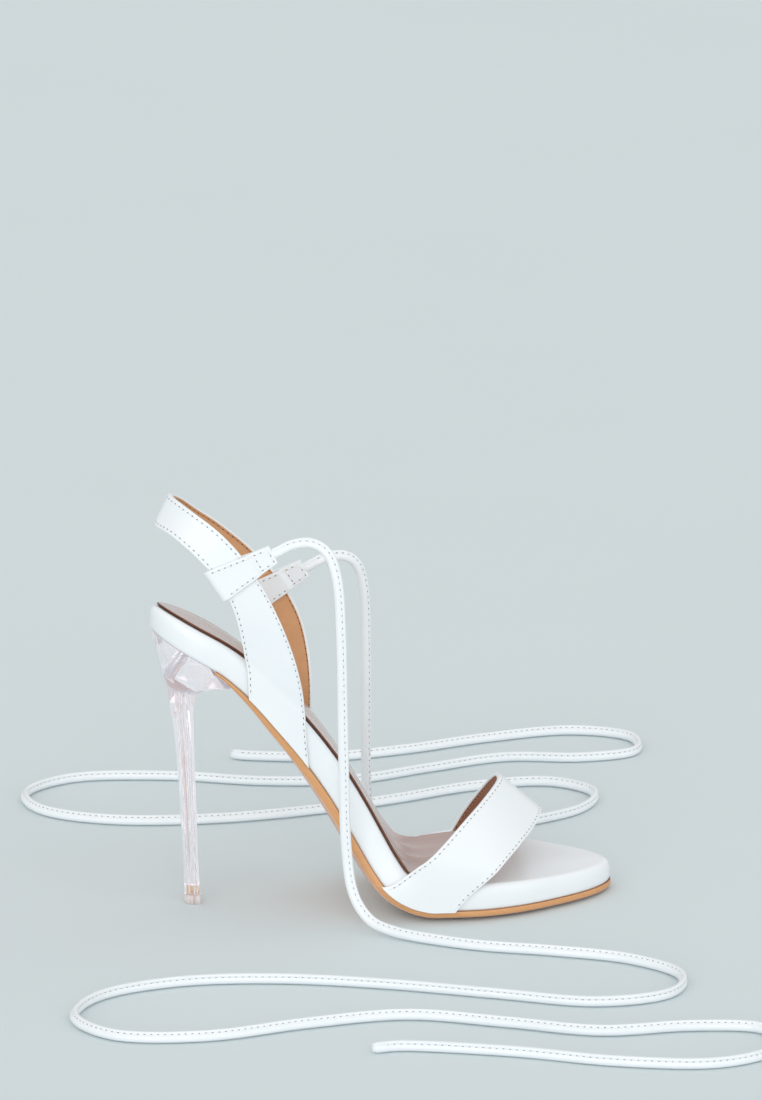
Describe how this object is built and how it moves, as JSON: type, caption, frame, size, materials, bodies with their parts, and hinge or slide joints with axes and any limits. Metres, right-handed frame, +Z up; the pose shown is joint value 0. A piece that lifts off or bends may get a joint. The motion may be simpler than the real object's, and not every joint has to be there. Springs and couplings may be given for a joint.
{
  "type": "sandal",
  "caption": "Lace-up stiletto sandal for the right foot: white straps on a tan sole, clear heel and long round ankle ties",
  "frame": {"origin": "on the floor, in the middle of the heel tip's resting face", "axes": "+Z up, +X from the heel to the toe, +Y towards the inner side of this right foot"},
  "size_m": [0.2865, 0.4582, 0.1786],
  "materials": {
    "white_leather": "smooth coated leather, slightly glossy",
    "lining_leather": "smooth lining, glossy",
    "tan_sole": "smooth sole material, satin",
    "clear_plastic": "clear, polished",
    "fastener_metal": "plated"
  },
  "bodies": {
    "root": {"footbed": "white_leather", "outsole": "tan_sole", "sock": "lining_leather", "toe_strap": "white_leather", "ankle_strap": "white_leather", "keeper_outer": "white_leather", "keeper_inner": "white_leather", "heel": "clear_plastic", "heel_screw": "fastener_metal", "heel_tip": "clear_plastic", "tip_pin": "fastener_metal", "lace_outer": "white_leather", "lace_inner": "white_leather"}
  },
  "joints": []
}
